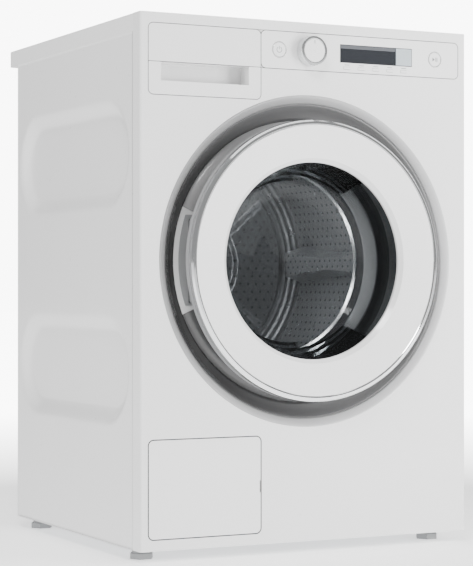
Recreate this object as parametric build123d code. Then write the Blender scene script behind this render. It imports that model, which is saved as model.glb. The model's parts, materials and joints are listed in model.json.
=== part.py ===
"""Front-loading washing machine, 595 x 850 mm, as an assembly of separate pieces.

Millimetres, +Z up, the front faces -Y.  "q" is the depth behind the plane of the front
panel, so y = FRONT_Y + q.  Negative q stands proud of the front panel.
"""
from build123d import *
import math
import os

os.makedirs("parts", exist_ok=True)

# ---- overall -------------------------------------------------------------------------
WIDTH = 595.0
HEIGHT = 850.0
HALF = WIDTH / 2
FRONT_Y = -272.5          # plane of the front panel
SIDE_DEPTH = 533.0        # rear end of the side panels
TOP_DEPTH = 576.0         # rear edge of the worktop
TOP_THICK = 28.0
BASE_Z = 19.0             # underside of the cabinet
SHEET = 1.2               # steel sheet of the cabinet
RETURN = 28.0             # depth of the front panel's side returns

# ---- door, dish and drum -------------------------------------------------------------
AXIS_Z = 468.0            # height of the door and drum axis
DISH_R = 264.0
OPENING_R = 182.0
NECK_R = 177.0
GLASS_R = 157.5
PIVOT_X = -255.0          # hinge pin of the door
PIVOT_Q = 26.0
ARM_R = 65.0
ARM_HALF = 5.5
ARM_Z = (414.5, 520.5)
ARM_TALL = 22.0
LINK_ANGLE = 112.5
LINK_WIDE = 6.0
PIN_R = 3.5
TUB_R = 245.0
TUB_WALL = 2.0
DRUM_R = 233.0
DRUM_WALL = 1.0
DRUM_FRONT = 112.0
DRUM_BACK = 447.0
SHAFT_R = 15.0
PULLEY_R = 140.0
MOTOR_X = 110.0
MOTOR_Z = 168.0
MOTOR_PULLEY_R = 10.0
RUN = 0.05                # radial clearance of a turning or sliding fit

# ---- control strip and drawer --------------------------------------------------------
PANEL_X = (-87.9, 282.8)
PANEL_Z = (774.0, 833.0)
PANEL_T = 3.0
DRAWER_X = (-283.6, -88.9)
DRAWER_Z = (723.4, 832.9)
SEAM_Z = 774.1
KNOB_Z = 804.0
POWER_X = -55.5
START_X = 237.4
BUTTON_R = 12.7
KEY_X = [69.0, 96.0, 123.0, 150.0, 177.0]
KEY_Z = 780.8
WINDOW_X = (56.0, 192.8)
WINDOW_Z = (789.5, 819.0)

# ---- hatch, feet, suspension ---------------------------------------------------------
HATCH_X = (-283.1, -89.1)
HATCH_Z = (37.6, 189.7)
HATCH_PIN = (-270.0, 5.0)
FEET = [(-265.0, 68.0), (265.0, 68.0), (-265.0, 500.0), (265.0, 500.0)]
FOOT_STUD_R = 5.0
DAMPERS = [(-200.0, 240.0), (200.0, 240.0), (-200.0, 420.0), (200.0, 420.0)]
SPRING_X = 235.0
SPRING_Q = 330.0
WIRE_R = 1.7
PUMP_X = -186.0
PUMP_Z = 110.0


def block(x0, x1, q0, q1, z0, z1):
    centre = Pos((x0 + x1) / 2, FRONT_Y + (q0 + q1) / 2, (z0 + z1) / 2)
    return centre * Box(x1 - x0, q1 - q0, z1 - z0)


def soft_block(x0, x1, q0, q1, z0, z1, radius):
    body = block(x0, x1, q0, q1, z0, z1)
    return fillet(body.edges().filter_by(Axis.Y), radius)


def rod(radius, q0, q1, x=0.0, z=AXIS_Z):
    return Pos(x, FRONT_Y + (q0 + q1) / 2, z) * Rot(90, 0, 0) * Cylinder(radius, q1 - q0)


def ring(outer, inner, q0, q1, x=0.0, z=AXIS_Z):
    return rod(outer, q0, q1, x, z) - rod(inner, q0 - 1, q1 + 1, x, z)


def post(radius, z0, z1, x, q):
    return Pos(x, FRONT_Y + q, (z0 + z1) / 2) * Cylinder(radius, z1 - z0)


def bar(radius, x0, x1, q, z):
    return Pos((x0 + x1) / 2, FRONT_Y + q, z) * Rot(0, 90, 0) * Cylinder(radius, x1 - x0)


def turned(points, x=0.0, z=AXIS_Z):
    outline = Polyline(*[(r, FRONT_Y + q) for r, q in points], close=True)
    solid = revolve(make_face(outline), Axis.Y, 360)
    return Pos(x, 0, z) * solid


def spun(shape, angle, x=0.0, z=AXIS_Z):
    return shape.rotate(Axis((x, 0, z), (0, 1, 0)), angle)


def tube_along(points, outer, inner, bend):
    corners = [Vector(x, FRONT_Y + q, z) for x, q, z in points]
    wire = FilletPolyline(*corners, radius=bend)
    start = Plane(origin=corners[0], z_dir=(corners[1] - corners[0]).normalized())
    shell = sweep(start * Circle(outer), path=wire)
    if inner:
        shell = shell - sweep(start * Circle(inner), path=wire)
    return shell


def save(shape, name):
    export_step(shape, "parts/" + name + ".step")


# ======================================================================== the dish ====
FLOOR_OUT = (227.0, 33.0)
FLOOR_IN = (OPENING_R, 40.0)
DISH_FACE = [
    (DISH_R, 0.0), (258.0, 4.2), (252.0, 10.0), (248.0, 15.0), (243.5, 21.0), (238.5, 25.6), (232.0, 28.0),
    (231.0, 28.4), (230.2, 31.6), FLOOR_OUT, FLOOR_IN,
]
LIP_BACK = 48.0


def floor_q(radius):
    slope = (FLOOR_IN[1] - FLOOR_OUT[1]) / (FLOOR_OUT[0] - FLOOR_IN[0])
    return FLOOR_OUT[1] + slope * (FLOOR_OUT[0] - radius)


dish_back = [(r + 0.9, q + SHEET) for r, q in DISH_FACE[:-1]]
dish_back.append((OPENING_R + SHEET, FLOOR_IN[1] + SHEET))
dish_sheet = turned(
    DISH_FACE + [(OPENING_R, LIP_BACK), (OPENING_R + SHEET, LIP_BACK)] + dish_back[::-1]
)
ahead_of_dish = turned([(0, -40)] + [(290, -40), (290, SHEET)] + dish_back + [(OPENING_R + SHEET, 60), (0, 60)])

# ==================================================================== front panel ====
front = block(-HALF, HALF, 0, RETURN, BASE_Z, HEIGHT)
front = fillet(front.edges().filter_by(Axis.Z).group_by(Axis.Y)[0], 3.5)
front -= block(-HALF + SHEET, HALF - SHEET, SHEET, RETURN + 1, BASE_Z + SHEET, HEIGHT - SHEET)
front -= rod(DISH_R, -1, SHEET + 1)
front += dish_sheet
front -= soft_block(DRAWER_X[0] - 0.9, DRAWER_X[1] + 0.5, -1, 4, DRAWER_Z[0] - 0.9, DRAWER_Z[1] + 0.9, 8.5)
front -= soft_block(PANEL_X[0] - 0.5, PANEL_X[1] + 0.9, -1, 4, PANEL_Z[0] - 0.9, PANEL_Z[1] + 0.9, 8.5)
front -= block(DRAWER_X[1] - 20, PANEL_X[0] + 20, -1, 4, PANEL_Z[0] - 0.9, PANEL_Z[1] + 0.9)
front -= soft_block(
    HATCH_X[0] - 1.8, HATCH_X[1] + 1.6, -1, 4, HATCH_Z[0] - 1.7, HATCH_Z[1] + 1.7, 9.5
)
for slot_z in ARM_Z:
    front -= block(-199, -182.8, 20, 46, slot_z - 13.5, slot_z + 13.5)
front -= block(187, 203, 30, 46, 457, 479)
for lug_z in (HATCH_Z[0] - 8.5, HATCH_Z[1] + 2.5):
    lug = block(HATCH_PIN[0] - 5, HATCH_PIN[0] + 5, SHEET, 10, lug_z, lug_z + 6)
    front += lug - post(2.0 + RUN, lug_z - 1, lug_z + 7, *HATCH_PIN)
catch = block(HATCH_X[1] - 2, HATCH_X[1] + 8, 5.5, 8, 106, 118)
front += catch + block(HATCH_X[1] + 3, HATCH_X[1] + 8, SHEET, 8, 106, 118)
save(front, "front_panel")


# ==================================================================== side panels ====
def stadium(radius, centre_z, depth, taper):
    plane = Plane(origin=(-HALF, FRONT_Y + 281.0, centre_z), x_dir=(0, 1, 0), z_dir=(1, 0, 0))
    outline = plane * SlotOverall(476.0 + 2 * (radius - 86.0), 2 * radius)
    return extrude(outline, amount=depth, taper=taper)


def side_panel():
    sheet = block(-HALF, -HALF + SHEET, RETURN, SIDE_DEPTH, BASE_Z, HEIGHT - TOP_THICK)
    for centre_z in (294.0, 637.0):
        sheet += stadium(88.5, centre_z, 14.2, 61.5)
    for centre_z in (294.0, 637.0):
        sheet -= stadium(86.0, centre_z, 13.0, 61.5)
    flange = block(-HALF + SHEET, -HALF + 16, SIDE_DEPTH - SHEET, SIDE_DEPTH, BASE_Z + 3, HEIGHT - TOP_THICK)
    for z in (60, 290, 560, 790):
        flange -= rod(2.0, SIDE_DEPTH - 3, SIDE_DEPTH + 1, -289, z)
    bracket = block(-HALF + SHEET, -222, SPRING_Q - 12, SPRING_Q + 12, 803, 806)
    bracket += block(-HALF + SHEET, -HALF + 4, SPRING_Q - 12, SPRING_Q + 12, 780, 806)
    return sheet + flange + bracket


left_side = side_panel()
save(left_side, "left_side_panel")
save(mirror(left_side, about=Plane.YZ), "right_side_panel")

# ======================================================================= worktop ====
worktop = block(-HALF, HALF, RETURN, TOP_DEPTH, HEIGHT - TOP_THICK, HEIGHT)
worktop = fillet(worktop.edges().filter_by(Axis.Z).group_by(Axis.Y)[-1], 6)
worktop = chamfer(worktop.faces().sort_by(Axis.Z)[-1].edges().group_by(Axis.Y)[-1], 1.2)
save(worktop, "worktop")

# ====================================================================== base pan ====
base = block(-HALF + SHEET, HALF - SHEET, RETURN, SIDE_DEPTH, BASE_Z, BASE_Z + 2.5)
base += block(-HALF + SHEET, -HALF + 4, RETURN, SIDE_DEPTH - 2, BASE_Z, 42)
base += block(HALF - 4, HALF - SHEET, RETURN, SIDE_DEPTH - 2, BASE_Z, 42)
base += block(-280, 280, RETURN + 20, RETURN + 23, BASE_Z, 34)
base += block(-280, 280, SIDE_DEPTH - 4, SIDE_DEPTH - 1.2, BASE_Z, 34)
base += block(-3, 3, RETURN + 20, SIDE_DEPTH - 4, BASE_Z, 30)
for x, q in FEET:
    base += post(14, BASE_Z, 46, x, q)
for x, q in FEET:
    base -= post(FOOT_STUD_R + RUN, 0, 60, x, q)
save(base, "base_pan")

feet = []
nuts = []
for x, q in FEET:
    pad = Pos(x, FRONT_Y + q, 0) * extrude(RegularPolygon(19.6, 6), amount=9)
    foot = pad + post(15, 9, 12, x, q) + post(FOOT_STUD_R, 12, 44, x, q)
    feet.append(foot - post(13, -1, 1.5, x, q))
    nut = Pos(x, FRONT_Y + q, 13.2) * extrude(RegularPolygon(10.5, 6), amount=BASE_Z - 13.2)
    nuts.append(nut - post(FOOT_STUD_R + RUN, 0, 30, x, q))
save(Compound(feet), "levelling_feet")
save(Compound(nuts), "foot_lock_nuts")

# ============================================================= rear panel, services ====
VALVE_X = (-215.0, -165.0)
VALVE_Z = 776.0
DRAIN_X = -252.0
DRAIN_Z = 700.0
GLAND_X = 250.0
GLAND_Z = 770.0


def cover_outline(grow):
    big = Pos(0, 0) * Circle(156 + grow)
    small = Pos(MOTOR_X, MOTOR_Z - AXIS_Z) * Circle(40 + grow)
    return make_hull(big.edges() + small.edges())


def cover_block(grow, q0, q1):
    plane = Plane(origin=(0, FRONT_Y + q0, AXIS_Z), x_dir=(1, 0, 0), z_dir=(0, -1, 0))
    return extrude(plane * cover_outline(grow), amount=-(q1 - q0))


rear = block(-HALF, HALF, SIDE_DEPTH, SIDE_DEPTH + SHEET, BASE_Z, HEIGHT - TOP_THICK)
rear += cover_block(SHEET, SIDE_DEPTH, 566)
rear -= cover_block(0, SIDE_DEPTH - 1, 566 - SHEET)
for x in VALVE_X:
    rear -= rod(14.5, SIDE_DEPTH - 1, SIDE_DEPTH + 3, x, VALVE_Z)
rear -= rod(11.5, SIDE_DEPTH - 1, SIDE_DEPTH + 3, DRAIN_X, DRAIN_Z)
rear -= rod(8.0, SIDE_DEPTH - 1, SIDE_DEPTH + 3, GLAND_X, GLAND_Z)
screws = []
for x in (-289, 289):
    for z in (60, 290, 560, 790):
        rear -= rod(2.0, SIDE_DEPTH - 1, SIDE_DEPTH + 3, x, z)
        screw = rod(4.5, SIDE_DEPTH + SHEET, SIDE_DEPTH + 4, x, z) + rod(1.98, SIDE_DEPTH - 6, SIDE_DEPTH + SHEET, x, z)
        screws.append(screw)
save(rear, "rear_panel")
save(Compound(screws), "cabinet_screws")

valves = block(-240, -140, 500, SIDE_DEPTH, 752, 800)
for x in VALVE_X:
    valves += rod(13.1, SIDE_DEPTH, 560, x, VALVE_Z)
for x in VALVE_X:
    valves -= rod(9.0, 520, 561, x, VALVE_Z)
    valves += rod(16, 470, 500, x, VALVE_Z)
    valves += rod(6.5, 290, 470, x, VALVE_Z)
save(valves, "inlet_valves")

gland = rod(7.98, SIDE_DEPTH - 8, SIDE_DEPTH + 12, GLAND_X, GLAND_Z)
gland += rod(12.0, SIDE_DEPTH + SHEET, SIDE_DEPTH + 5, GLAND_X, GLAND_Z)
gland += block(GLAND_X - 12, GLAND_X + 12, SIDE_DEPTH - 12, SIDE_DEPTH, GLAND_Z - 12, GLAND_Z + 12)
gland -= rod(4.0, SIDE_DEPTH - 20, SIDE_DEPTH + 20, GLAND_X, GLAND_Z)
save(gland, "cord_gland")

# ================================================================== control strip ====
strip = soft_block(PANEL_X[0], PANEL_X[1], 0, PANEL_T, PANEL_Z[0], PANEL_Z[1], 8)
strip += block(PANEL_X[0], PANEL_X[0] + 12, 0, PANEL_T, PANEL_Z[0], PANEL_Z[1])
strip += block(PANEL_X[0] + 6, PANEL_X[1] - 6, PANEL_T, 20, PANEL_Z[0] + 0.5, PANEL_Z[1] - 0.5)
strip -= block(PANEL_X[0] + 7.5, PANEL_X[1] - 7.5, PANEL_T, 21, PANEL_Z[0] + 2, PANEL_Z[1] - 2)
for x in (-60, 20, 110, 200, 260):
    strip += block(x - 8, x + 8, SHEET, 5, PANEL_Z[1] - 2, PANEL_Z[1] + 6) - block(
        x - 9, x + 9, 0, PANEL_T, PANEL_Z[1] - 3, PANEL_Z[1] + 0.9
    ) - block(x - 9, x + 9, 0, SHEET, PANEL_Z[1] - 3, PANEL_Z[1] + 7)
    strip += block(x - 8, x + 8, PANEL_T, 5, PANEL_Z[0] - 6, PANEL_Z[0] + 2)
    strip += block(x - 8, x + 8, SHEET, PANEL_T, PANEL_Z[0] - 6, PANEL_Z[0] - 0.9)
for x, z in ((-75, 826), (-75, 782), (270, 826), (270, 782), (30, 826), (205, 826)):
    strip += rod(2.5, PANEL_T, 14, x, z)
strip -= block(WINDOW_X[0], WINDOW_X[1], -1, PANEL_T + 1, WINDOW_Z[0], WINDOW_Z[1])
for x in (POWER_X, START_X):
    strip -= rod(BUTTON_R + 0.5, -1, PANEL_T + 1, x, KNOB_Z)
strip -= rod(3.5, -1, PANEL_T + 1, 0, KNOB_Z)
for x in KEY_X:
    strip -= soft_block(x - 6.85, x + 6.85, -1, PANEL_T + 1, KEY_Z - 2.35, KEY_Z + 2.35, 1.2)
save(strip, "control_panel")

window = block(WINDOW_X[0], WINDOW_X[1], -0.2, PANEL_T, WINDOW_Z[0], WINDOW_Z[1])
save(window, "display_window")

board = block(-80, 275, 14, 15.6, 778, 829)
board += block(60, 189, 6, 14, 792, 817)
board += block(-9, 9, 6, 14, 795, 813)
board -= rod(3.0 + RUN, 5, 12.5, 0, KNOB_Z)
for x in (POWER_X, START_X):
    board += block(x - 3, x + 3, 11.3, 14, KNOB_Z - 3, KNOB_Z + 3)
for x in KEY_X:
    board += block(x - 3, x + 3, 11.3, 14, KEY_Z - 2.2, KEY_Z + 2.2)
board += block(215, 262, 15.6, 32, 784, 822)
board += block(120, 160, 15.6, 27, 790, 812)
save(board, "control_board")

for x, name in ((POWER_X, "power_button"), (START_X, "start_button")):
    cap = [(0, -0.2), (11.2, -0.2), (11.9, -0.7), (12.4, -0.7), (BUTTON_R, -0.4), (BUTTON_R, PANEL_T)]
    stem = [(15, PANEL_T), (15, 4.4), (3, 4.4), (3, 9.3), (0, 9.3)]
    save(turned(cap + stem, x, KNOB_Z), name)

for index, x in enumerate(KEY_X):
    key = soft_block(x - 6.4, x + 6.4, -0.7, PANEL_T, KEY_Z - 1.9, KEY_Z + 1.9, 0.9)
    key += block(x - 7.6, x + 7.6, PANEL_T, 4.2, KEY_Z - 3.1, KEY_Z + 3.1)
    key += rod(1.3, 4.2, 9.8, x, KEY_Z)
    save(key, "option_key_" + str(index + 1))

knob = turned(
    [
        (0, -14.0), (18.8, -14.0), (18.8, -16.2), (20.0, -16.5), (23.0, -16.0), (23.6, -15.2), (24.0, -1.2),
        (22.5, -0.7), (20.0, -0.7), (20.0, -11.0), (5.0, -11.0), (5.0, -0.4), (3.0, -0.4), (3.0, 11.8), (0, 11.8),
    ],
    0, KNOB_Z,
)
save(knob, "knob_body")
save(turned([(0, -14.0), (18.78, -14.0), (18.78, -16.0), (18.0, -16.7), (0, -17.1)], 0, KNOB_Z), "knob_cap")

# ============================================================= detergent drawer ====
fascia = soft_block(DRAWER_X[0], DRAWER_X[1], 0, 3, SEAM_Z + 0.4, DRAWER_Z[1], 8)
fascia += block(DRAWER_X[0], DRAWER_X[1], 0, 3, SEAM_Z + 0.4, SEAM_Z + 12)
fascia += block(DRAWER_X[1] - 12, DRAWER_X[1], 0, 3, SEAM_Z + 0.4, DRAWER_Z[1])
fascia += block(DRAWER_X[0] + 6, DRAWER_X[1] - 6, 3, 32, 814, 816)
for x in (DRAWER_X[0] + 6, DRAWER_X[1] - 8):
    fascia += block(x, x + 2, 3, 32, 777, 816)
save(fascia, "drawer_fascia")

HANDLE_X = (-262.5, -109.8)
HANDLE_Z = (744.6, 773.7)
low = soft_block(DRAWER_X[0], DRAWER_X[1], 0, 3, DRAWER_Z[0], SEAM_Z - 0.4, 8)
low += block(DRAWER_X[0], DRAWER_X[1], 0, 3, SEAM_Z - 12, SEAM_Z - 0.4)
low += block(HANDLE_X[0] - 2, HANDLE_X[1] + 2, 3, 32, HANDLE_Z[0] - 2, HANDLE_Z[1] + 2)
low -= block(HANDLE_X[0], HANDLE_X[1], -1, 30, HANDLE_Z[0], HANDLE_Z[1])
low += block(HANDLE_X[0], HANDLE_X[1], 3, 30, HANDLE_Z[1], HANDLE_Z[1] + 1)
low -= block(HANDLE_X[0] - 1, HANDLE_X[1] + 1, -1, 3, HANDLE_Z[1] - 0.4, HANDLE_Z[1] + 5)
save(low, "drawer_front")

tray = block(-279.5, -93, 32, 258, 726, 816)
tray -= block(-277.5, -95, 34, 256, 728, 820)
tray += block(-217, -215, 34, 256, 728, 806)
tray += block(-157, -155, 34, 256, 728, 806)
tray -= block(-280, -92, 60, 259, 806, 820)
for x in (-270, -190, -106):
    tray += block(x, x + 4, 34, 258, 723.7, 726)
save(tray, "drawer_tray")

housing = block(-285.5, -88.2, 3.2, 290, 722, 821)
housing -= block(-284, -89.7, 3, 288.5, 723.5, 819.5)
housing += block(-270, -100, SHEET, 12, 719.5, 722)
housing += post(14, 697, 722, -120, 262)
housing -= post(11, 690, 730, -120, 262)
save(housing, "dispenser_housing")

# ================================================================== service hatch ====
hatch = soft_block(HATCH_X[0], HATCH_X[1], 0, 2.4, HATCH_Z[0], HATCH_Z[1], 8)
hatch += block(HATCH_PIN[0] - 3.5, HATCH_PIN[0] + 3.5, 2.4, 8.2, HATCH_Z[0] + 1, HATCH_Z[0] + 10)
hatch += block(HATCH_PIN[0] - 3.5, HATCH_PIN[0] + 3.5, 2.4, 8.2, HATCH_Z[1] - 10, HATCH_Z[1] - 1)
hatch += post(2.0, HATCH_Z[0] - 7.5, HATCH_Z[0] + 3, *HATCH_PIN)
hatch += post(2.0, HATCH_Z[1] - 3, HATCH_Z[1] + 7.5, *HATCH_PIN)
hatch += block(HATCH_X[0] + 24, HATCH_X[1] - 8, 2.4, 4, HATCH_Z[0] + 10, HATCH_Z[0] + 12)
hatch += block(HATCH_X[0] + 24, HATCH_X[1] - 8, 2.4, 4, HATCH_Z[1] - 12, HATCH_Z[1] - 10)
hatch -= soft_block(HATCH_X[1] - 3.2, HATCH_X[1] + 2, -1, 1.2, 102, 120, 1.4)
save(hatch, "service_hatch")

# =========================================================================== door ====
rim_slope = 7.5 / 39.5
front_ring = turned([
    (GLASS_R, -14), (164, -20.5), (215.5, -30), (215.5, -25), (176, -17.5), (176, -9.5), (GLASS_R, -9.5),
])
save(front_ring, "door_front_ring")
trim = turned([
    (215.5, -30), (216.3, -30.8), (218, -31), (221.5, -30.2), (224, -27.5), (225, -22.8), (224.6, -21),
    (212, -21), (212, -25 + 3.5 * rim_slope), (215.5, -25),
])
save(trim, "door_trim_ring")
back_frame = turned([
    (173, -9.5), (176, -9.5), (176, -6), (212, -6), (212, -21), (221, -21), (221, -19), (224.5, -19),
    (224.5, -9), (222.8, -5.2), (218.5, -3), (180, -3), (NECK_R, 0), (NECK_R, 38), (173, 38),
])
save(back_frame, "door_back_frame")
glass = turned([
    (GLASS_R, -9.5), (136.5, 57), (128, 66), (105, 74), (60, 79.5), (0, 81.5), (0, 86), (62, 84),
    (108, 78.5), (132, 70), (141, 58.5), (160.5, -4), (173, -4), (173, -9.5),
])
save(glass, "door_glass")

pivot = Pos(PIVOT_X, FRONT_Y + PIVOT_Q)


def arm(centre_z):
    flat = pivot * (Circle(ARM_R + ARM_HALF) - Circle(ARM_R - ARM_HALF))
    start = math.radians(-38)
    stop = math.radians(115)
    far = 160
    wedge = [(0, 0), (far * math.cos(start), far * math.sin(start)), (far, 0), (far, far), (0, far)]
    wedge.append((far * math.cos(stop), far * math.sin(stop)))
    flat = flat & (pivot * make_face(Polyline(*wedge, close=True)))
    link = Rot(0, 0, LINK_ANGLE) * (Pos(ARM_R / 2, 0) * Rectangle(ARM_R, LINK_WIDE))
    flat = flat + (pivot * link) + (pivot * Circle(7.0))
    flat = flat - (pivot * Circle(PIN_R + RUN))
    solid = extrude(flat, amount=ARM_TALL)
    return Pos(0, 0, centre_z - ARM_TALL / 2) * solid


arms = arm(ARM_Z[0]) + arm(ARM_Z[1])
arms -= block(-300, 0, -60, -3, 380, 560)
arms += block(-213, -181, -3, -0.5, 402, 533)
save(arms, "door_hinge_arms")

hook = block(191, 199, -3, 46, 461, 475) + block(186, 204, -3, 0, 455, 481)
hook -= block(190, 194.5, 41.5, 44, 460, 476)
save(hook, "door_latch_hook")

# ------------------------------------------------------------- hinge and lock, fixed ----
plate = turned([
    (217, floor_q(217) - 1.3), (217, floor_q(217)), (184, floor_q(184)), (184, floor_q(184) - 1.3),
])
plate = plate & block(-230, -160, 20, 50, 397, 540)
for slot_z in ARM_Z:
    plate -= block(-199, -182.8, 20, 46, slot_z - 13.5, slot_z + 13.5)
bracket = block(-291, -191, 2, 98, 394, 397) + block(-291, -191, 2, 98, 538, 541)
bracket += block(-291, -289, 30, 98, 394, 541)
bracket -= ahead_of_dish
bracket += post(PIN_R, 397, 538, PIVOT_X, PIVOT_Q)
save(Compound([plate, bracket]), "door_hinge_plate")

lock = block(188.2, 232, 30, 82, 443, 493) - ahead_of_dish
lock -= block(190.2, 203, 20, 60, 457, 479)
save(lock, "door_lock")

# ======================================================================== door seal ====
seal = turned([
    (178, 41), (OPENING_R, 41), (OPENING_R, LIP_BACK), (187, LIP_BACK), (187, 80), (165, 80), (165, 63),
    (168, 63), (168, 77), (184, 77), (184, 52), (178, 52),
])
save(seal, "door_seal")

# ============================================================================== tub ====
shell = ring(TUB_R, TUB_R - TUB_WALL, 104, 484)
shell += ring(TUB_R, 46, 484, 487)
for angle in range(0, 360, 45):
    rib = block(60, 236, 487, 497, AXIS_Z - 1.5, AXIS_Z + 1.5)
    shell += spun(rib, angle + 22.5)
for x, q in DAMPERS:
    lug = block(x - 9, x + 9, q - 9, q + 9, 300, 345) - rod(TUB_R - 0.5, q - 20, q + 20)
    shell += lug
for side in (-1, 1):
    ear = block(min(side * 190, side * 246), max(side * 190, side * 246), SPRING_Q - 9, SPRING_Q + 9, 590, 594)
    shell += ear - rod(TUB_R - 0.5, SPRING_Q - 20, SPRING_Q + 20)
SUMP_X = -90.0
SUMP_Q = 122.0
spigot = post(16.98, 222, 262, SUMP_X, SUMP_Q) - rod(TUB_R - 0.5, 100, 150)
funnel = post(20, 672, 699, -120, 262) - rod(TUB_R - 0.5, 230, 300)
shell += spigot
shell += funnel
shell -= post(14.5, 200, 250, SUMP_X, SUMP_Q)
shell -= post(17.5, 660, 720, -120, 262)
for x in (-25.0, 25.0):
    shell -= rod(2.6, 483, 488, x, AXIS_Z - 236.7)
save(shell, "tub_shell")

tub_front = ring(TUB_R, 165, 100, 104) + ring(165, 163, 62, 104)
save(tub_front, "tub_front")

bearing_case = ring(60, 31, 487, 491) + ring(46, 31, 484, 520) + ring(31, 27, 502, 506) + ring(31, 21, 484, 486)
for angle in range(0, 360, 60):
    bearing_case += spun(block(44, 58, 491, 512, AXIS_Z - 2, AXIS_Z + 2), angle)
save(bearing_case, "bearing_housing")
bearings = [ring(31, SHAFT_R + RUN, 486, 502), ring(31, SHAFT_R + RUN, 506, 520)]
bearings[0] -= ring(26, 20, 485, 487)
bearings[1] -= ring(26, 20, 519, 521)
save(Compound(bearings), "main_bearings")


def arc_weight(start, stop):
    big = ring(240, 199, 68, 100)
    far = 400
    wedge = [(0.0, 0.0)]
    for step in range(5):
        a = math.radians(start + (stop - start) * step / 4)
        wedge.append((far * math.cos(a), far * math.sin(a)))
    plane = Plane(origin=(0, FRONT_Y + 120, AXIS_Z), x_dir=(1, 0, 0), z_dir=(0, -1, 0))
    return big & extrude(plane * make_face(Polyline(*wedge, close=True)), amount=80)


save(Compound([arc_weight(35, 145), arc_weight(215, 325)]), "counterweights")

heater = rod(2.6, 300, 492, -25, AXIS_Z - 236.7) + rod(2.6, 300, 492, 25, AXIS_Z - 236.7)
heater += bar(2.6, -25, 25, 300, AXIS_Z - 236.7)
for x in (-25, 25):
    heater += Pos(x, FRONT_Y + 300, AXIS_Z - 236.7) * Sphere(2.6)
heater += block(-36, 36, 487, 490, AXIS_Z - 243, AXIS_Z - 230)
save(heater, "heater_element")

# ======================================================================= drum ====
save(ring(DRUM_R, DRUM_R - DRUM_WALL, DRUM_FRONT, DRUM_BACK), "drum_shell")
drum_front = turned([
    (DRUM_R, 109), (DRUM_R, DRUM_FRONT), (170, DRUM_FRONT), (156, 117), (151, 121), (150, 118), (153, 113), (168, 109),
])
save(drum_front, "drum_front_ring")
drum_back = turned([
    (0, DRUM_BACK - 4), (60, DRUM_BACK - 4), (90, DRUM_BACK), (DRUM_R, DRUM_BACK), (DRUM_R, DRUM_BACK + 1.2),
    (90, DRUM_BACK + 1.2), (60, DRUM_BACK + 1.2), (0, DRUM_BACK + 1.2),
])
save(drum_back, "drum_back")


def lifter():
    plane = Plane(origin=(238, FRONT_Y + 280, AXIS_Z), x_dir=(0, 1, 0), z_dir=(-1, 0, 0))
    edge = [(-160, 36), (-130, 34), (-60, 26), (0, 23), (60, 26), (130, 34), (160, 36)]
    outline = edge + [(a, -b) for a, b in edge[::-1]]
    solid = extrude(plane * make_face(Polyline(*outline, close=True)), amount=50, taper=14)
    return solid & rod(DRUM_R - DRUM_WALL, DRUM_FRONT, DRUM_BACK)


one = lifter()
save(Compound([one, spun(one, 120), spun(one, 240)]), "drum_lifters")

spider = rod(38, DRUM_BACK + 1.2, 478)
for angle in (90, 210, 330):
    spoke = block(20, 230, DRUM_BACK + 1.2, 466, AXIS_Z - 16, AXIS_Z + 16)
    spoke += block(20, 226, 466, 474, AXIS_Z - 4, AXIS_Z + 4)
    spider += spun(spoke, angle)
spider = spider & rod(DRUM_R - 1, DRUM_BACK, 479)
spider -= rod(SHAFT_R, DRUM_BACK, 480)
save(spider, "drum_spider")
save(rod(SHAFT_R, DRUM_BACK + 1.2, 552), "drum_shaft")

pulley = ring(PULLEY_R, PULLEY_R - 8, 526, 544) + ring(28, SHAFT_R, 526, 548)
for angle in range(0, 360, 60):
    pulley += spun(block(24, PULLEY_R - 6, 530, 540, AXIS_Z - 7, AXIS_Z + 7), angle)
pulley -= ring(PULLEY_R + 5, PULLEY_R - 0.8, 528, 542)
save(pulley, "drum_pulley")

# =================================================================== motor and belt ====
motor = ring(62, 46, 300, 500, MOTOR_X, MOTOR_Z)
motor += ring(62, 6 + RUN, 300, 308, MOTOR_X, MOTOR_Z) + ring(62, 6 + RUN, 492, 500, MOTOR_X, MOTOR_Z)
for q in (330, 450):
    web = block(MOTOR_X - 52, MOTOR_X + 52, q, q + 20, 196, 290)
    web -= rod(TUB_R, q - 5, q + 30)
    web -= rod(60, q - 5, q + 30, MOTOR_X, MOTOR_Z)
    motor += web
save(motor, "motor_housing")
rotor = rod(6, 303, 546, MOTOR_X, MOTOR_Z) + rod(40, 320, 480, MOTOR_X, MOTOR_Z)
rotor += rod(MOTOR_PULLEY_R, 526, 544, MOTOR_X, MOTOR_Z)
save(rotor, "motor_rotor")


def belt_loop(gap, q0, q1):
    big = Pos(0, 0) * Circle(PULLEY_R - 0.8 + gap)
    small = Pos(MOTOR_X, MOTOR_Z - AXIS_Z) * Circle(MOTOR_PULLEY_R + gap)
    plane = Plane(origin=(0, FRONT_Y + q0, AXIS_Z), x_dir=(1, 0, 0), z_dir=(0, -1, 0))
    return extrude(plane * make_hull(big.edges() + small.edges()), amount=-(q1 - q0))


save(belt_loop(3.2, 529, 541) - belt_loop(0.35, 528, 542), "drive_belt")

# ====================================================================== suspension ====
cylinders = []
rods = []
for x, q in DAMPERS:
    case = post(18, 45, 190, x, q) + block(x - 14, x + 14, q - 8, q + 8, BASE_Z + 2.5, 50)
    case -= post(6 + RUN, 62, 191, x, q)
    cylinders.append(case)
    rods.append(post(6, 76, 300, x, q) + post(10, 288, 300, x, q))
save(Compound(cylinders), "damper_cylinders")
save(Compound(rods), "damper_rods")

springs = []
for side in (-1, 1):
    x = side * SPRING_X
    wind = Pos(x, FRONT_Y + SPRING_Q, 594 + WIRE_R) * Helix(pitch=12.06, height=209 - 2 * WIRE_R, radius=9)
    profile = Plane(origin=wind @ 0, z_dir=wind % 0) * Circle(WIRE_R)
    springs.append(sweep(profile, path=wind, is_frenet=True))
save(Compound(springs), "suspension_springs")

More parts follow.
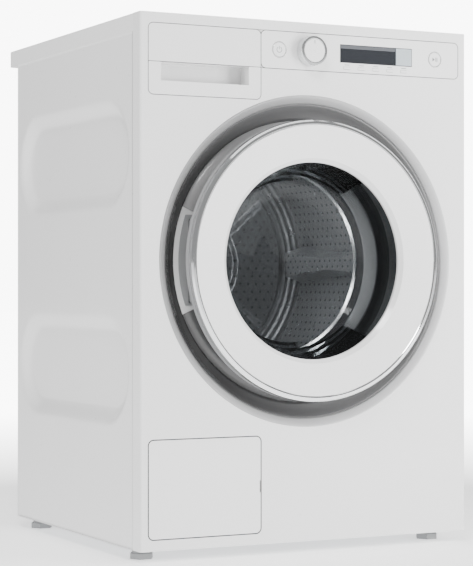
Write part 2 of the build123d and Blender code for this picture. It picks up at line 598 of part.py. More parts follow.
# ============================================================================ pump ====
pump = ring(33, 29, 14, 92, PUMP_X, PUMP_Z) + rod(40, 92, 150, PUMP_X, PUMP_Z) + rod(27, 150, 205, PUMP_X, PUMP_Z)
pump += bar(16.98, PUMP_X, -132, SUMP_Q, PUMP_Z)
pump += post(7.48, PUMP_Z, 172, PUMP_X, SUMP_Q)
pump += block(PUMP_X - 24, PUMP_X + 24, 30, 44, BASE_Z + 2.5, PUMP_Z - 31)
pump += block(PUMP_X - 24, PUMP_X + 24, 104, 140, BASE_Z + 2.5, PUMP_Z - 31)
save(pump, "drain_pump")

basket = rod(29 - RUN, 14, 26, PUMP_X, PUMP_Z) + rod(31.5, 11, 14, PUMP_X, PUMP_Z)
basket += block(PUMP_X - 24, PUMP_X + 24, 7, 11, PUMP_Z - 3, PUMP_Z + 3)
cage = ring(24, 22, 26, 84, PUMP_X, PUMP_Z) + rod(24, 82, 84, PUMP_X, PUMP_Z)
for angle in range(0, 180, 45):
    cage -= spun(block(PUMP_X - 30, PUMP_X + 30, 32, 78, PUMP_Z - 3, PUMP_Z + 3), angle, PUMP_X, PUMP_Z)
save(basket + cage, "pump_filter")

hose = tube_along(
    [(PUMP_X, SUMP_Q, 160), (PUMP_X, SUMP_Q, 195), (DRAIN_X, SUMP_Q, 195), (DRAIN_X, 512, 195), (DRAIN_X, 512, DRAIN_Z),
     (DRAIN_X, 556, DRAIN_Z)],
    11.0, 7.5, 20,
)
hose -= ring(20, 9.5, SIDE_DEPTH + 2, 560, DRAIN_X, DRAIN_Z)
save(hose, "drain_hose")
sump = tube_along([(SUMP_X, SUMP_Q, 236), (SUMP_X, SUMP_Q, PUMP_Z), (-142, SUMP_Q, PUMP_Z)], 20.0, 17.0, 24)
sump -= rod(TUB_R, 90, 150)
save(sump, "sump_hose")
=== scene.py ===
"""Front-loading washing machine: the looks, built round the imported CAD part. Metres."""

import json
import math

import bpy
import numpy as np
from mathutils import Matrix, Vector


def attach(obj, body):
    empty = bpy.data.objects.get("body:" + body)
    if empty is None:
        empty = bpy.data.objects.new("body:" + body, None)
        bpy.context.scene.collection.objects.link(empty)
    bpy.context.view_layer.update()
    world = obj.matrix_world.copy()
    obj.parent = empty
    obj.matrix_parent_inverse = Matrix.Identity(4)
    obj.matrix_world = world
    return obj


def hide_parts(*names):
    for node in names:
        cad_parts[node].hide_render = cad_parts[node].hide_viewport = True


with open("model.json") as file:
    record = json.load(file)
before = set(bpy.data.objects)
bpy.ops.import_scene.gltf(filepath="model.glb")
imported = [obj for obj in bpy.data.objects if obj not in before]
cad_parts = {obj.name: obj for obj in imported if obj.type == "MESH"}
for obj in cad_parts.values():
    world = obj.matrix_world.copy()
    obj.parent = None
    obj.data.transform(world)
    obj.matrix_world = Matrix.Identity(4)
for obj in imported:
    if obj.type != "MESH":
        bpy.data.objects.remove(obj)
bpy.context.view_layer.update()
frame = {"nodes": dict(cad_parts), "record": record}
NODES = frame["nodes"]

FY = -0.2725          # plane of the front panel
AXIS_Z = 0.468        # door and drum axis
WALL_R = 0.2325       # the drum's wall, where its holes are laid out
LIFTER_R = 0.188      # the same on a lifter's top
GRID_SHIFT = 1000.0   # whole cells added so that a grid's numbers stay positive


# ------------------------------------------------------------------ materials ----
def new_material(name, color, rough, metal=0.0, coat=0.0):
    mat = bpy.data.materials.new(name)
    mat.use_nodes = True
    nt = mat.node_tree
    bsdf = nt.nodes["Principled BSDF"]
    bsdf.inputs["Base Color"].default_value = (*color, 1)
    bsdf.inputs["Roughness"].default_value = rough
    bsdf.inputs["Metallic"].default_value = metal
    bsdf.inputs["Coat Weight"].default_value = coat
    bsdf.inputs["Coat Roughness"].default_value = 0.08
    return mat, nt, bsdf


def node(nt, kind, **values):
    n = nt.nodes.new(kind)
    for key, value in values.items():
        setattr(n, key, value)
    return n


def coords(nt):
    return nt.nodes.new("ShaderNodeTexCoord").outputs["Object"]


def math_node(nt, op, a, b=None):
    n = node(nt, "ShaderNodeMath", operation=op)
    for i, v in enumerate((a, b)):
        if v is None:
            continue
        if isinstance(v, (int, float)):
            n.inputs[i].default_value = v
        else:
            nt.links.new(v, n.inputs[i])
    return n.outputs[0]


def noise(nt, vec, scale, detail=4.0, rough=0.55):
    n = node(nt, "ShaderNodeTexNoise")
    n.inputs["Scale"].default_value = scale
    n.inputs["Detail"].default_value = detail
    n.inputs["Roughness"].default_value = rough
    nt.links.new(vec, n.inputs["Vector"])
    return n.outputs["Fac"]


def ramp_range(nt, value, lo, hi, out_lo, out_hi):
    n = node(nt, "ShaderNodeMapRange")
    for key, v in (("From Min", lo), ("From Max", hi), ("To Min", out_lo), ("To Max", out_hi)):
        n.inputs[key].default_value = v
    nt.links.new(value, n.inputs["Value"])
    return n.outputs["Result"]


def add_bump(nt, bsdf, height, strength, distance=0.0005):
    n = node(nt, "ShaderNodeBump")
    n.inputs["Strength"].default_value = strength
    n.inputs["Distance"].default_value = distance
    nt.links.new(height, n.inputs["Height"])
    nt.links.new(n.outputs["Normal"], bsdf.inputs["Normal"])


def mix_color(nt, fac, a, b):
    n = node(nt, "ShaderNodeMix", data_type="RGBA")
    n.inputs[6].default_value = (*a, 1)
    n.inputs[7].default_value = (*b, 1)
    nt.links.new(fac, n.inputs[0])
    return n.outputs[2]


def speckled(name, color, rough, metal=0.0, coat=0.0, scale=90, bump=0.1, vary=0.03, spread=0.06,
             bump_mm=0.3):
    """A finish whose tone and roughness wander a little and whose surface has a fine grain."""
    mat, nt, bsdf = new_material(name, color, rough, metal, coat)
    vec = coords(nt)
    broad = noise(nt, vec, 7.0, 5.0)
    dark = tuple(max(0.0, c * (1 - vary)) for c in color)
    light = tuple(min(1.0, c * (1 + vary)) for c in color)
    tone = mix_color(nt, ramp_range(nt, broad, 0.3, 0.7, 0, 1), dark, light)
    nt.links.new(tone, bsdf.inputs["Base Color"])
    fine = noise(nt, vec, scale, 3.0)
    nt.links.new(ramp_range(nt, fine, 0.25, 0.75, rough - spread, rough + spread),
                 bsdf.inputs["Roughness"])
    add_bump(nt, bsdf, noise(nt, vec, scale * 5, 2.0), bump, bump_mm / 1000)
    return mat


def brushed(name, color, rough, stretch=(1, 60, 60)):
    """A metal with fine streaks along the axis that is stretched least."""
    mat, nt, bsdf = new_material(name, color, rough, 1.0)
    mapping = node(nt, "ShaderNodeMapping")
    mapping.inputs["Scale"].default_value = stretch
    nt.links.new(coords(nt), mapping.inputs["Vector"])
    streak = noise(nt, mapping.outputs["Vector"], 40, 5.0, 0.7)
    nt.links.new(ramp_range(nt, streak, 0.3, 0.7, rough - 0.08, rough + 0.1),
                 bsdf.inputs["Roughness"])
    add_bump(nt, bsdf, streak, 0.08, 0.0002)
    return mat


def hypotenuse(nt, a, b):
    squares = math_node(nt, "ADD", math_node(nt, "MULTIPLY", a, a), math_node(nt, "MULTIPLY", b, b))
    return math_node(nt, "SQRT", squares)


def drum_coords(nt):
    """x, y, height over the drum axis, angle round it and distance from it, in object space."""
    sep = node(nt, "ShaderNodeSeparateXYZ")
    nt.links.new(coords(nt), sep.inputs[0])
    x, y, z = (sep.outputs[axis] for axis in "XYZ")
    up = math_node(nt, "SUBTRACT", z, AXIS_Z)
    return x, y, up, math_node(nt, "ARCTAN2", up, x), hypotenuse(nt, up, x)


def from_cell_centre(nt, cell, pitch):
    fraction = math_node(nt, "SUBTRACT", math_node(nt, "FRACT", cell), 0.5)
    return math_node(nt, "MULTIPLY", fraction, pitch)


def dot_grid(nt, u, v, pitch_u, pitch_v, hole):
    """Masks of the round holes and of their surroundings on a staggered grid; metres."""
    row = math_node(nt, "ADD", math_node(nt, "DIVIDE", v, pitch_v), GRID_SHIFT)
    odd = math_node(nt, "MODULO", math_node(nt, "FLOOR", row), 2.0)
    column = math_node(nt, "ADD", math_node(nt, "DIVIDE", u, pitch_u), GRID_SHIFT)
    column = math_node(nt, "ADD", column, math_node(nt, "MULTIPLY", odd, 0.5))
    apart = hypotenuse(nt, from_cell_centre(nt, column, pitch_u), from_cell_centre(nt, row, pitch_v))
    inside = ramp_range(nt, apart, hole * 0.8, hole, 1.0, 0.0)
    return inside, ramp_range(nt, apart, hole, hole * 2.2, 0.0, 1.0)


def perforated(name, kind):
    """Drum steel whose holes are in its finish, laid out for the wall, a lifter or the back disc; its
    tone is painted shade, darker than plain stainless and darkest on the back disc, and the holes are
    painted near-black shade.
    """
    # Painted shade: the drum's steel is darker than the plain stainless, and the back disc much darker
    # still.
    tone = (0.13, 0.134, 0.14) if kind == "disc" else (0.40, 0.41, 0.42)
    mat, nt, bsdf = new_material(name, tone, 0.36, 1.0)
    x, y, up, angle, radius = drum_coords(nt)
    if kind == "wall":
        u = math_node(nt, "MULTIPLY", angle, WALL_R)
        hole, rim = dot_grid(nt, y, u, 0.0170, 0.0147, 0.0027)
    elif kind == "lifter":
        u = math_node(nt, "MULTIPLY", angle, LIFTER_R)
        hole, rim = dot_grid(nt, y, u, 0.018, 0.0105, 0.0024)
        hole = math_node(nt, "MULTIPLY", hole, math_node(nt, "LESS_THAN", radius, 0.1905))
    else:
        hole, rim = dot_grid(nt, x, up, 0.0165, 0.0143, 0.0028)
        band = math_node(nt, "MULTIPLY", math_node(nt, "GREATER_THAN", radius, 0.070),
                         math_node(nt, "LESS_THAN", radius, 0.188))
        hole = math_node(nt, "MULTIPLY", hole, band)
    # Painted shade: the holes are near-black, the dark seen through them.
    nt.links.new(mix_color(nt, hole, tone, (0.006, 0.006, 0.007)), bsdf.inputs["Base Color"])
    nt.links.new(ramp_range(nt, hole, 0.0, 1.0, 0.8, 0.0), bsdf.inputs["Metallic"])
    nt.links.new(ramp_range(nt, noise(nt, coords(nt), 60, 4.0), 0.3, 0.7, 0.26, 0.40),
                 bsdf.inputs["Roughness"])
    add_bump(nt, bsdf, rim, 0.6, 0.0006)
    return mat


def glass_material(name):
    """Tinted clear glass: a little haze, and a faintly wavy reflection by Fresnel."""
    mat = bpy.data.materials.new(name)
    mat.use_nodes = True
    nt = mat.node_tree
    nt.nodes.clear()
    out = node(nt, "ShaderNodeOutputMaterial")
    clear = node(nt, "ShaderNodeBsdfTransparent")
    clear.inputs["Color"].default_value = (0.66, 0.67, 0.675, 1)
    shine = node(nt, "ShaderNodeBsdfGlossy")
    shine.inputs["Color"].default_value = (0.9, 0.92, 0.93, 1)
    wave = node(nt, "ShaderNodeBump")
    wave.inputs["Strength"].default_value = 0.04
    wave.inputs["Distance"].default_value = 0.002
    nt.links.new(noise(nt, coords(nt), 9.0, 2.0), wave.inputs["Height"])
    nt.links.new(wave.outputs["Normal"], shine.inputs["Normal"])
    nt.links.new(ramp_range(nt, noise(nt, coords(nt), 30, 3.0), 0.3, 0.7, 0.015, 0.05),
                 shine.inputs["Roughness"])
    fres = node(nt, "ShaderNodeFresnel")
    fres.inputs["IOR"].default_value = 1.24
    haze = node(nt, "ShaderNodeBsdfDiffuse")
    haze.inputs["Color"].default_value = (0.10, 0.104, 0.108, 1)
    body = node(nt, "ShaderNodeMixShader")
    body.inputs[0].default_value = 0.07
    nt.links.new(clear.outputs[0], body.inputs[1])
    nt.links.new(haze.outputs[0], body.inputs[2])
    mix = node(nt, "ShaderNodeMixShader")
    nt.links.new(fres.outputs[0], mix.inputs[0])
    nt.links.new(body.outputs[0], mix.inputs[1])
    nt.links.new(shine.outputs[0], mix.inputs[2])
    nt.links.new(mix.outputs[0], out.inputs["Surface"])
    return mat


M = {
    "enamel": speckled("enamel", (0.80, 0.80, 0.80), 0.30, coat=0.35, scale=120, bump=0.05,
                       vary=0.006, spread=0.03, bump_mm=0.12),
    "zinc": speckled("zinc", (0.48, 0.50, 0.52), 0.42, metal=0.85, scale=50, bump=0.15,
                     vary=0.14, spread=0.1),
    "laminate": speckled("laminate", (0.80, 0.80, 0.80), 0.38, scale=160, bump=0.08,
                         vary=0.008, spread=0.04),
    "plastic_white": speckled("plastic_white", (0.82, 0.82, 0.82), 0.22, coat=0.5, scale=140,
                              bump=0.03, vary=0.005, spread=0.03, bump_mm=0.1),
    "satin": brushed("satin", (0.74, 0.75, 0.76), 0.26),
    "chrome": speckled("chrome", (0.80, 0.81, 0.82), 0.09, metal=1.0, scale=60, bump=0.02,
                       vary=0.01, spread=0.025, bump_mm=0.05),
    "glass": glass_material("glass"),
    "steel": brushed("steel", (0.56, 0.57, 0.58), 0.32),
    "drum_wall": perforated("drum_wall", "wall"),
    "drum_disc": perforated("drum_disc", "disc"),
    "drum_lifter": perforated("drum_lifter", "lifter"),
    "drum_plain": brushed("drum_plain", (0.62, 0.63, 0.64), 0.26, (60, 1, 60)),
    "black": speckled("black", (0.016, 0.016, 0.018), 0.42, scale=110, bump=0.12, vary=0.1,
                      spread=0.07),
    "grey": speckled("grey", (0.30, 0.305, 0.31), 0.46, scale=100, bump=0.12, vary=0.04,
                     spread=0.06),
    "display": speckled("display", (0.018, 0.020, 0.024), 0.10, coat=0.6, scale=80, bump=0.01,
                        vary=0.02, spread=0.02, bump_mm=0.05),
    "circuit": speckled("circuit", (0.02, 0.12, 0.05), 0.35, scale=80, bump=0.1, vary=0.1),
    "rubber_grey": speckled("rubber_grey", (0.085, 0.088, 0.092), 0.62, scale=150, bump=0.2,
                            vary=0.06, spread=0.08),
    "rubber_black": speckled("rubber_black", (0.015, 0.015, 0.016), 0.6, scale=150, bump=0.2,
                             vary=0.1, spread=0.08),
    "iron": speckled("iron", (0.07, 0.07, 0.075), 0.6, metal=0.4, scale=130, bump=0.5,
                     vary=0.15, spread=0.1, bump_mm=0.8),
    "alloy": speckled("alloy", (0.50, 0.51, 0.52), 0.45, metal=0.9, scale=150, bump=0.3,
                      vary=0.06, spread=0.1, bump_mm=0.5),
    "segment": speckled("segment", (0.40, 0.45, 0.48), 0.25, coat=0.4, scale=90, bump=0.02,
                        vary=0.03, spread=0.03),
    "mark": speckled("mark", (0.16, 0.17, 0.18), 0.45, scale=90, bump=0.05, vary=0.04),
    "display_band": speckled("display_band", (0.10, 0.105, 0.115), 0.12, coat=0.5, scale=80,
                             bump=0.01, vary=0.02),
    "gap": speckled("gap", (0.03, 0.03, 0.032), 0.7, scale=90, bump=0.1, vary=0.1),
}
BY_SLOT = {
    "white_enamel": "enamel", "galvanised": "zinc", "white_laminate": "laminate",
    "white_plastic": "plastic_white", "satin_metal": "satin", "chrome_trim": "chrome",
    "door_glass": "glass", "stainless": "drum_plain", "plain_steel": "steel",
    "black_plastic": "black", "grey_plastic": "grey", "display": "display",
    "circuit": "circuit", "grey_rubber": "rubber_grey", "black_rubber": "rubber_black",
    "iron": "iron", "cast_alu": "alloy",
}
BY_NODE = {
    "drum_lifters": "drum_lifter", "drum_shell": "drum_wall", "drum_back": "drum_disc",
    "door_hinge_plate": "grey", "door_hinge_arms": "grey",
}
for part in frame["record"]["subparts"]:
    obj = NODES[part["node"]]
    look = BY_NODE.get(part["node"], BY_SLOT[part["material_slot"]])
    obj.data.materials.clear()
    obj.data.materials.append(M[look])


# --------------------------------------------------------------- mesh helpers ----
def make_object(name, verts, faces, look, body, smooth=True):
    mesh = bpy.data.meshes.new(name)
    mesh.from_pydata([tuple(v) for v in verts], [], faces)
    mesh.validate()
    mesh.update()
    if smooth:
        mesh.polygons.foreach_set("use_smooth", [True] * len(mesh.polygons))
    obj = bpy.data.objects.new(name, mesh)
    bpy.context.scene.collection.objects.link(obj)
    mesh.materials.append(M[look])
    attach(obj, body)
    return obj


def lathe(name, profile, look, body, steps=192, z=AXIS_Z, x=0.0, half_turn=180.0):
    """A closed (radius, q) profile in millimetres, turned about the Y axis through (x, z).

    A half_turn under 180 degrees leaves a gap at the left."""
    whole = half_turn == 180.0
    count = len(profile)
    verts = []
    for i in range(steps):
        a = 2 * math.pi * i / steps
        if not whole:
            a = math.radians(-half_turn + 2 * half_turn * i / (steps - 1))
        for r, q in profile:
            verts.append((x + r / 1000 * math.cos(a), FY + q / 1000, z + r / 1000 * math.sin(a)))
    faces = []
    for i in range(steps if whole else steps - 1):
        j = (i + 1) % steps
        for k in range(count):
            l = (k + 1) % count
            faces.append((i * count + k, i * count + l, j * count + l, j * count + k))
    return make_object(name, verts, faces, look, body)


def plate(name, outline, q, thick, look, body):
    """A flat plate with that (x, z) outline in millimetres, its face at depth q."""
    n = len(outline)
    verts = [(px / 1000, FY + q / 1000, pz / 1000) for px, pz in outline]
    verts += [(px / 1000, FY + (q + thick) / 1000, pz / 1000) for px, pz in outline]
    faces = [tuple(range(n)), tuple(range(2 * n - 1, n - 1, -1))]
    faces += [(i, i + n, (i + 1) % n + n, (i + 1) % n) for i in range(n)]
    return make_object(name, verts, faces, look, body, smooth=False)


def disc_outline(x, z, radius, steps=32, start=0.0, sweep=360.0):
    turns = [math.radians(start + sweep * i / steps) for i in range(steps + (sweep < 360))]
    return [(x + radius * math.cos(a), z + radius * math.sin(a)) for a in turns]


def arc_band(x, z, inner, outer, start, sweep, steps=24):
    far = disc_outline(x, z, outer, steps, start, sweep)
    near = disc_outline(x, z, inner, steps, start, sweep)
    return far + near[::-1]


def rect(x0, x1, z0, z1):
    return [(x0, z0), (x1, z0), (x1, z1), (x0, z1)]


# ------------------------------------------------------------------- the dish ----
def shaded_ring(name, shade_stops, rough):
    """A finish with painted light and shade that runs round the door axis, from stops of (turn from
    the left, grey).
    """
    mat, nt, bsdf = new_material(name, (0.5, 0.5, 0.5), rough, coat=0.3)
    angle = drum_coords(nt)[3]
    turn = ramp_range(nt, angle, -math.pi, math.pi, 0.0, 1.0)
    ramp = node(nt, "ShaderNodeValToRGB")
    ramp.color_ramp.interpolation = "B_SPLINE"
    while len(ramp.color_ramp.elements) < len(shade_stops):
        ramp.color_ramp.elements.new(0.5)
    for element, (place, grey) in zip(ramp.color_ramp.elements, shade_stops):
        element.position = place
        element.color = (grey, grey, grey * 1.01, 1)
    nt.links.new(turn, ramp.inputs[0])
    nt.links.new(ramp.outputs[0], bsdf.inputs["Base Color"])
    nt.links.new(ramp_range(nt, noise(nt, coords(nt), 400, 2.0), 0.3, 0.7, rough - 0.01, rough + 0.01),
                 bsdf.inputs["Roughness"])
    return mat


# Painted light and shade on the dish: darker at the left and upper left, lighter at the lower right
# where the lamps fall; the cove and floor are also a darker grey of their own.
M["dish_bevel"] = shaded_ring(
    "dish_bevel", ((0.0, 0.26), (0.12, 0.32), (0.25, 0.42), (0.38, 0.72), (0.5, 0.62),
                   (0.75, 0.33), (0.88, 0.24), (1.0, 0.26)), 0.3)
M["dish_floor"] = shaded_ring(
    "dish_floor", ((0.0, 0.10), (0.12, 0.11), (0.25, 0.16), (0.38, 0.45), (0.5, 0.55),
                   (0.75, 0.45), (0.86, 0.55), (0.93, 0.3), (1.0, 0.10)), 0.34)
M["dish_cove"] = shaded_ring(
    "dish_cove", ((0.0, 0.035), (0.12, 0.07), (0.25, 0.13), (0.40, 0.2), (0.5, 0.24),
                  (0.75, 0.16), (0.88, 0.11), (1.0, 0.035)), 0.26)
bevel = [(265.6, -0.4), (264.0, -0.4), (261.0, 1.2), (257.6, 3.6), (254.4, 6.3), (251.6, 9.2),
         (252.4, 9.8), (265.6, 0.2)]
cove = [(251.7, 9.1), (249.6, 11.5), (247.2, 14.4), (245.2, 17.4), (242.8, 20.2), (240.6, 22.6),
        (238.0, 24.8), (235.0, 26.3), (231.8, 27.2), (230.2, 27.6), (229.3, 31.0), (226.8, 32.2),
        (226.8, 32.7), (229.9, 31.6), (230.8, 28.2), (238.5, 25.5), (243.4, 20.9), (252.2, 9.8)]
floor_ring = [(226.9, 32.3), (183.0, 39.2), (183.0, 39.7), (226.9, 32.8)]
lathe("dish_bevel_skin", bevel, "dish_bevel", "cabinet", 256)
lathe("dish_cove_skin", cove, "dish_cove", "cabinet", 256)
lathe("dish_floor_skin", floor_ring, "dish_floor", "cabinet", 240, half_turn=158.0)


# ---------------------------------------------------------------- side panels ----
RECESS_HEIGHTS = (294.0, 637.0)   # millimetres, like the rest of this section
RECESS_SPAN = (129.0, 433.0)      # from the centre of one round end to the other's
RECESS_RADIUS = 86.0
RECESS_SLOPE = 24.0
RECESS_DEPTH = 13.0
SIDE_X = 297.5
SKIN = 1.2                        # thickness, here and on the drum's back


def recess_depth(q, z):
    deep = np.zeros_like(q)
    for centre in RECESS_HEIGHTS:
        along = np.clip(q, *RECESS_SPAN)
        inside = RECESS_RADIUS - np.hypot(q - along, z - centre)
        t = np.clip(inside / RECESS_SLOPE, 0, 1)
        deep = np.maximum(deep, RECESS_DEPTH * t * t * (3 - 2 * t))
    return deep


def side_skin(name, side, replaced):
    """One side panel with its two pressed recesses; side is -1 on the left."""
    qs = np.linspace(28.0, 533.0, 108)
    zs = np.linspace(19.0, 822.0, 172)
    grid_q, grid_z = np.meshgrid(qs, zs, indexing="ij")
    deep = recess_depth(grid_q, grid_z)
    verts = []
    for back in (0.0, SKIN):
        x = side * (SIDE_X - deep - back)
        verts += [(a / 1000, FY + b / 1000, c / 1000)
                  for a, b, c in zip(x.ravel(), grid_q.ravel(), grid_z.ravel())]
    nq, nz = grid_q.shape
    count = nq * nz
    faces = []
    for i in range(nq - 1):
        for k in range(nz - 1):
            outer = (i * nz + k, (i + 1) * nz + k, (i + 1) * nz + k + 1, i * nz + k + 1)
            inner = outer[::-1]
            if side < 0:
                outer, inner = inner, outer
            faces += [outer, tuple(v + count for v in inner)]
    edge = [i * nz for i in range(nq)] + [(nq - 1) * nz + k for k in range(1, nz)]
    edge += [i * nz + nz - 1 for i in range(nq - 2, -1, -1)] + [k for k in range(nz - 2, 0, -1)]
    for a, b in zip(edge, edge[1:] + edge[:1]):
        faces.append((a, a + count, b + count, b))
    obj = make_object(name, verts, faces, "enamel", "cabinet")
    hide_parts(replaced)


side_skin("left_side_skin", -1, "left_side_panel")
side_skin("right_side_skin", 1, "right_side_panel")


# ------------------------------------------------------------------- drum back ----
def drum_back_depth(r, a):
    """Millimetres that the disc stands forward of its plane."""
    rise = np.zeros_like(r)
    for centre in (0.0, 120.0, 240.0):
        off = np.abs((np.degrees(a) - centre + 180) % 360 - 180)
        side = np.clip((40.0 - off) * np.radians(1) * r / 12.0, 0, 1)
        band = np.clip((r - 86.0) / 10.0, 0, 1) * np.clip((190.0 - r) / 10.0, 0, 1)
        t = np.minimum(side, band)
        rise = np.maximum(rise, 9.0 * t * t * (3 - 2 * t))
    ridges = np.where(r > 195.0, 1.6 * np.sin((r - 195.0) / 37.0 * 6 * math.pi), 0.0)
    hub = 4.0 * np.clip((80.0 - r) / 18.0, 0, 1)
    return rise + np.where(r < 231, ridges, 0) + hub


def drum_disc():
    """The drum's back: three raised lobes, a raised hub and rings pressed near the rim."""
    rs = np.concatenate([np.linspace(2, 84, 14), np.linspace(86, 98, 7), np.linspace(104, 178, 12),
                         np.linspace(180, 192, 7), np.linspace(194, 232.6, 30)])
    steps = 240
    plane = 447.0
    verts = []
    for back in (0.0, SKIN):
        for i in range(steps):
            a = 2 * math.pi * i / steps
            forward = drum_back_depth(rs, np.full_like(rs, a)) if back == 0 else np.zeros_like(rs)
            for r, f in zip(rs, forward):
                verts.append((r / 1000 * math.cos(a), FY + (plane - f + back) / 1000,
                              AXIS_Z + r / 1000 * math.sin(a)))
    n = len(rs)
    o = steps * n
    faces = []
    for i in range(steps):
        j = (i + 1) % steps
        for k in range(n - 1):
            faces.append((i * n + k, i * n + k + 1, j * n + k + 1, j * n + k))
            faces.append((o + j * n + k, o + j * n + k + 1, o + i * n + k + 1, o + i * n + k))
    faces.append(tuple(i * n for i in range(steps - 1, -1, -1)))
    faces.append(tuple(o + i * n for i in range(steps)))
    obj = make_object("drum_back_pressed", verts, faces, "drum_disc", "drum")
    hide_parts("drum_back")


drum_disc()


# ------------------------------------------------------------------- gap lines ----
def corner_outline(x0, x1, z0, z1, radius, steps=8):
    out = []
    for cx, cz, turn in ((x1 - radius, z1 - radius, 0), (x0 + radius, z1 - radius, 90),
                         (x0 + radius, z0 + radius, 180), (x1 - radius, z0 + radius, 270)):
        for i in range(steps + 1):
            a = math.radians(turn + 90 * i / steps)
            out.append((cx + radius * math.cos(a), cz + radius * math.sin(a)))
    return out


def gap_line(name, x0, x1, z0, z1, wide, radius=8.0):
    """A dark line round a rounded rectangle, for the joint round a drawer, strip or hatch."""
    inner = corner_outline(x0, x1, z0, z1, radius)
    outer = corner_outline(x0 - wide, x1 + wide, z0 - wide, z1 + wide, radius + wide)
    n = len(inner)
    verts = []
    for q in (-0.04, 0.5):
        for ring_points in (inner, outer):
            verts += [(px / 1000, FY + q / 1000, pz / 1000) for px, pz in ring_points]
    faces = []
    for i in range(n):
        j = (i + 1) % n
        faces.append((i, j, n + j, n + i))
        faces.append((2 * n + i, 3 * n + i, 3 * n + j, 2 * n + j))
        faces.append((n + i, n + j, 3 * n + j, 3 * n + i))
        faces.append((i, 2 * n + i, 2 * n + j, j))
    make_object(name, verts, faces, "gap", "cabinet", smooth=False)


gap_line("drawer_gap", -283.6, -88.9, 723.4, 832.9, 1.1)
gap_line("strip_gap", -87.9, 282.8, 774.0, 833.0, 1.1)
gap_line("hatch_gap", -283.1, -89.1, 37.6, 189.7, 1.8)
plate("drawer_seam", rect(-283.2, -89.3, 773.65, 774.55), -0.04, 0.4, "gap", "drawer")


# ---------------------------------------------------------------- control marks ----
def grey_mark(name, outline, q=-0.32, look="mark", body="cabinet", thick=0.12):
    plate(name, outline, q, thick, look, body)


def button_mark(name, outline, body):
    grey_mark(name, outline, body=body)


grey_mark("display_top_band", rect(57.0, 160.5, 812.5, 818.0), -0.28, "display_band", thick=0.08)
grey_mark("display_segment", rect(162.0, 191.8, 790.6, 818.0), -0.30, "segment", thick=0.1)
# Painted shadow: a thin dark bar along the lower edge of each of the five option keys.
for number, x in enumerate((69.0, 96.0, 123.0, 150.0, 177.0)):
    grey_mark("key_shadow_%d" % (number + 1), rect(x - 4.6, x + 4.6, 785.7, 786.6), -0.1)
button_mark("power_ring", arc_band(-55.5, 804.0, 4.0, 4.9, 118, 304), "power")
button_mark("power_bar", rect(-55.95, -55.05, 804.6, 809.4), "power")
button_mark("start_arrow", [(233.0, 800.8), (237.6, 804.0), (233.0, 807.2)], "start")
for number, x in enumerate((238.9, 241.3)):
    button_mark("pause_bar_%d" % (number + 1), rect(x, x + 1.2, 800.8, 807.2), "start")
grey_mark("knob_pointer", rect(-0.6, 0.6, 815.0, 820.6), -16.95, body="knob",
          thick=0.4)
button_ring = [(11.3, -0.3), (11.6, -0.85), (12.3, -0.85), (12.65, -0.3)]
for x, name in ((-55.5, "power"), (237.4, "start")):
    lathe(name + "_button_ring", button_ring, "satin", name, 96, z=0.804,
          x=x / 1000)


# -------------------------------------------------------------------- smoothing ----
for obj in NODES.values():
    mesh = obj.data
    mesh.polygons.foreach_set("use_smooth", [True] * len(mesh.polygons))


# ------------------------------------------------------------------------ stage ----
def stage_plane(name, size, z, color):
    """A pale floor that glows more with distance, for the camera only, so that no horizon shows."""
    mesh = bpy.data.meshes.new(name)
    corners = [(-size, -size, z), (size, -size, z), (size, size, z), (-size, size, z)]
    mesh.from_pydata(corners, [], [(0, 1, 2, 3)])
    obj = bpy.data.objects.new(name, mesh)
    bpy.context.scene.collection.objects.link(obj)
    mat, nt, bsdf = new_material(name, color, 0.75)
    tone = noise(nt, coords(nt), 3.0, 3.0)
    nt.links.new(ramp_range(nt, tone, 0.2, 0.8, 0.7, 0.8), bsdf.inputs["Roughness"])
    bsdf.inputs["Emission Color"].default_value = (1, 1, 1, 1)
    apart = node(nt, "ShaderNodeVectorMath", operation="LENGTH")
    nt.links.new(coords(nt), apart.inputs[0])
    far = ramp_range(nt, apart.outputs["Value"], 0.9, 3.2, 0.0, 8.0)
    seen_directly = node(nt, "ShaderNodeLightPath").outputs["Is Camera Ray"]
    glow = math_node(nt, "ADD", math_node(nt, "MULTIPLY", far, seen_directly), 1.0)
    nt.links.new(glow, bsdf.inputs["Emission Strength"])
    mesh.materials.append(mat)


stage_plane("floor", 30.0, 0.0, (0.92, 0.92, 0.92))

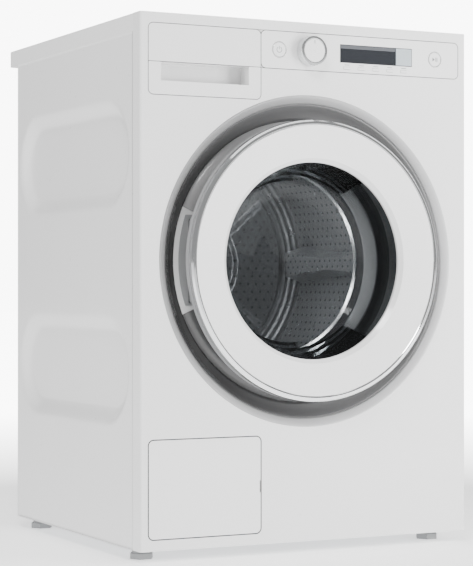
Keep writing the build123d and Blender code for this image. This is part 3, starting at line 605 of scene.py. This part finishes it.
WORLD_LIGHT = 0.36   # what lights the object
WORLD_SEEN = 9.0     # what the camera sees behind it
world = bpy.data.worlds.new("studio")
bpy.context.scene.world = world
world.use_nodes = True
back = world.node_tree.nodes["Background"]
back.inputs["Color"].default_value = (1.0, 1.0, 1.0, 1)
seen = world.node_tree.nodes.new("ShaderNodeLightPath")
level = world.node_tree.nodes.new("ShaderNodeMapRange")
level.inputs["To Min"].default_value = WORLD_LIGHT
level.inputs["To Max"].default_value = WORLD_SEEN
world.node_tree.links.new(seen.outputs["Is Camera Ray"], level.inputs["Value"])
world.node_tree.links.new(level.outputs["Result"], back.inputs["Strength"])


def area(name, place, target, size, power):
    """A rectangular light of that size in metres, aimed at the target, in watts."""
    light = bpy.data.lights.new(name, "AREA")
    light.shape = "RECTANGLE"
    light.size, light.size_y = size
    light.energy = power
    obj = bpy.data.objects.new(name, light)
    obj.location = place
    obj.rotation_euler = (Vector(target) - Vector(place)).to_track_quat("-Z", "Y").to_euler()
    bpy.context.scene.collection.objects.link(obj)
    return obj


area("key", (-1.5, -2.0, 3.0), (0, 0, 0.45), (1.2, 1.0), 95)
area("right_near", (1.25, -1.75, 0.75), (0.2, -0.25, 0.4), (0.9, 1.5), 62).visible_glossy = False
area("left_strip", (-2.6, -0.3, 0.8), (-0.3, 0, 0.4), (0.5, 0.9), 20)
area("top_soft", (0.0, 0.3, 3.0), (0, 0, 0.5), (2.4, 2.4), 30)
area("drum_left", (-0.15, FY + 0.135, 0.60), (0.22, FY + 0.25, 0.45), (0.08, 0.08), 1.3)
area("drum_top", (0.05, FY + 0.135, 0.66), (0.20, FY + 0.30, 0.40), (0.08, 0.08), 0.9)
area("drum_low", (-0.14, FY + 0.135, 0.33), (0.20, FY + 0.28, 0.52), (0.08, 0.08), 1.1)

cam_data = bpy.data.cameras.new("camera")
cam_data.lens = 120.34
cam_data.sensor_width = 36.0
cam_data.shift_y = 0.0097
cam_data.clip_end = 100
camera = bpy.data.objects.new("camera", cam_data)
camera.location = (-1.4836, FY - 2.6493, 0.424)
camera.rotation_euler = (math.radians(90), 0, math.radians(-27.03))
bpy.context.scene.collection.objects.link(camera)
bpy.context.scene.camera = camera
